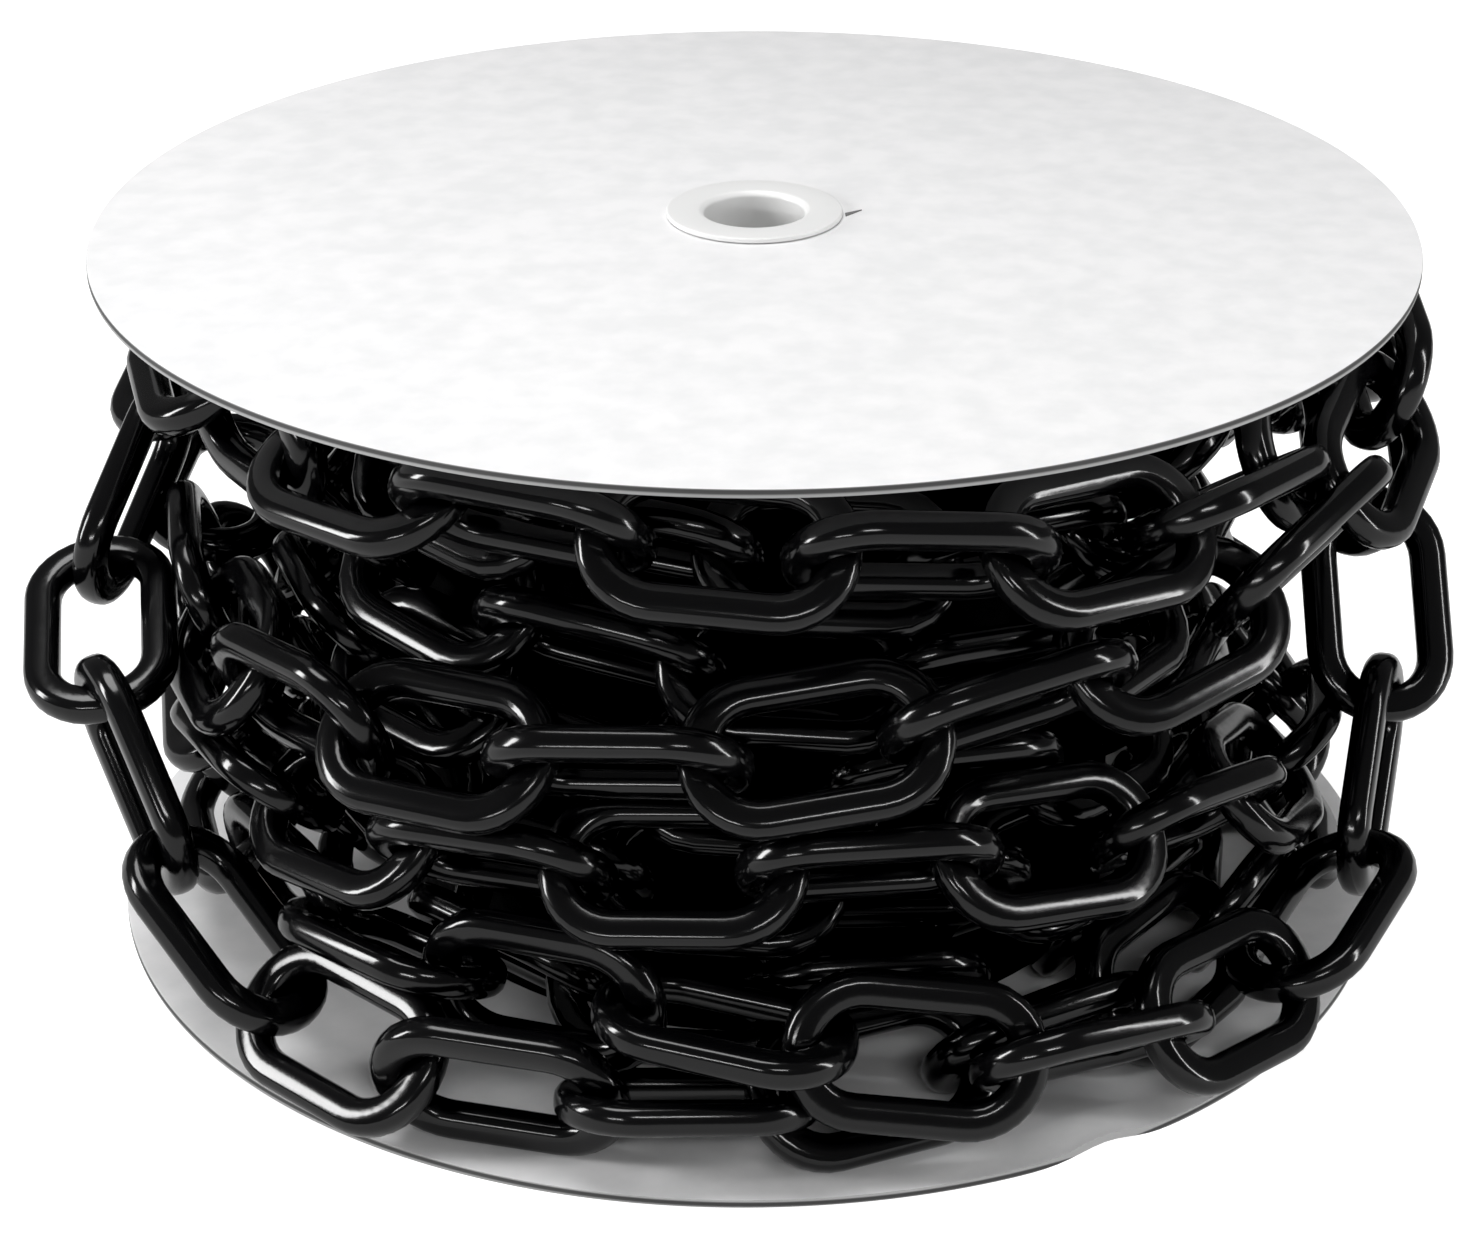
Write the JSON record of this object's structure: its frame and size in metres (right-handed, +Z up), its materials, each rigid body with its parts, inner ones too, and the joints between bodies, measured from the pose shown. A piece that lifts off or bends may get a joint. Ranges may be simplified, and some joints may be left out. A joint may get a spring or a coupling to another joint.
{
  "type": "reel of plastic barrier chain",
  "caption": "Black plastic barrier chain wound on a reel with two thin white round flanges and a round spindle hole through the middle, standing on one flange.",
  "frame": {"origin": "centre of the footprint, at the underside of the bottom flange", "axes": "+Z up along the spindle axis; the pictured side faces -Y"},
  "size_m": [0.2978, 0.2772, 0.1511],
  "materials": {
    "white_board": "smooth white-faced board, thin grey edge",
    "white_plastic": "moulded white plastic, satin",
    "grey_card": "plain card tube",
    "black_plastic": "glossy moulded black plastic"
  },
  "bodies": {
    "root": {"bottom_flange": "white_board", "top_flange": "white_board", "core_tube": "grey_card", "bottom_bush": "white_plastic", "top_bush": "white_plastic", "wound_chain_core": "black_plastic", "chain_turn_1": "black_plastic", "chain_turn_2": "black_plastic", "chain_turn_3": "black_plastic", "chain_turn_4": "black_plastic", "chain_turn_5": "black_plastic", "inner_turn_1": "black_plastic", "inner_turn_2": "black_plastic", "inner_turn_3": "black_plastic", "inner_turn_4": "black_plastic", "inner_turn_5": "black_plastic"}
  },
  "joints": []
}
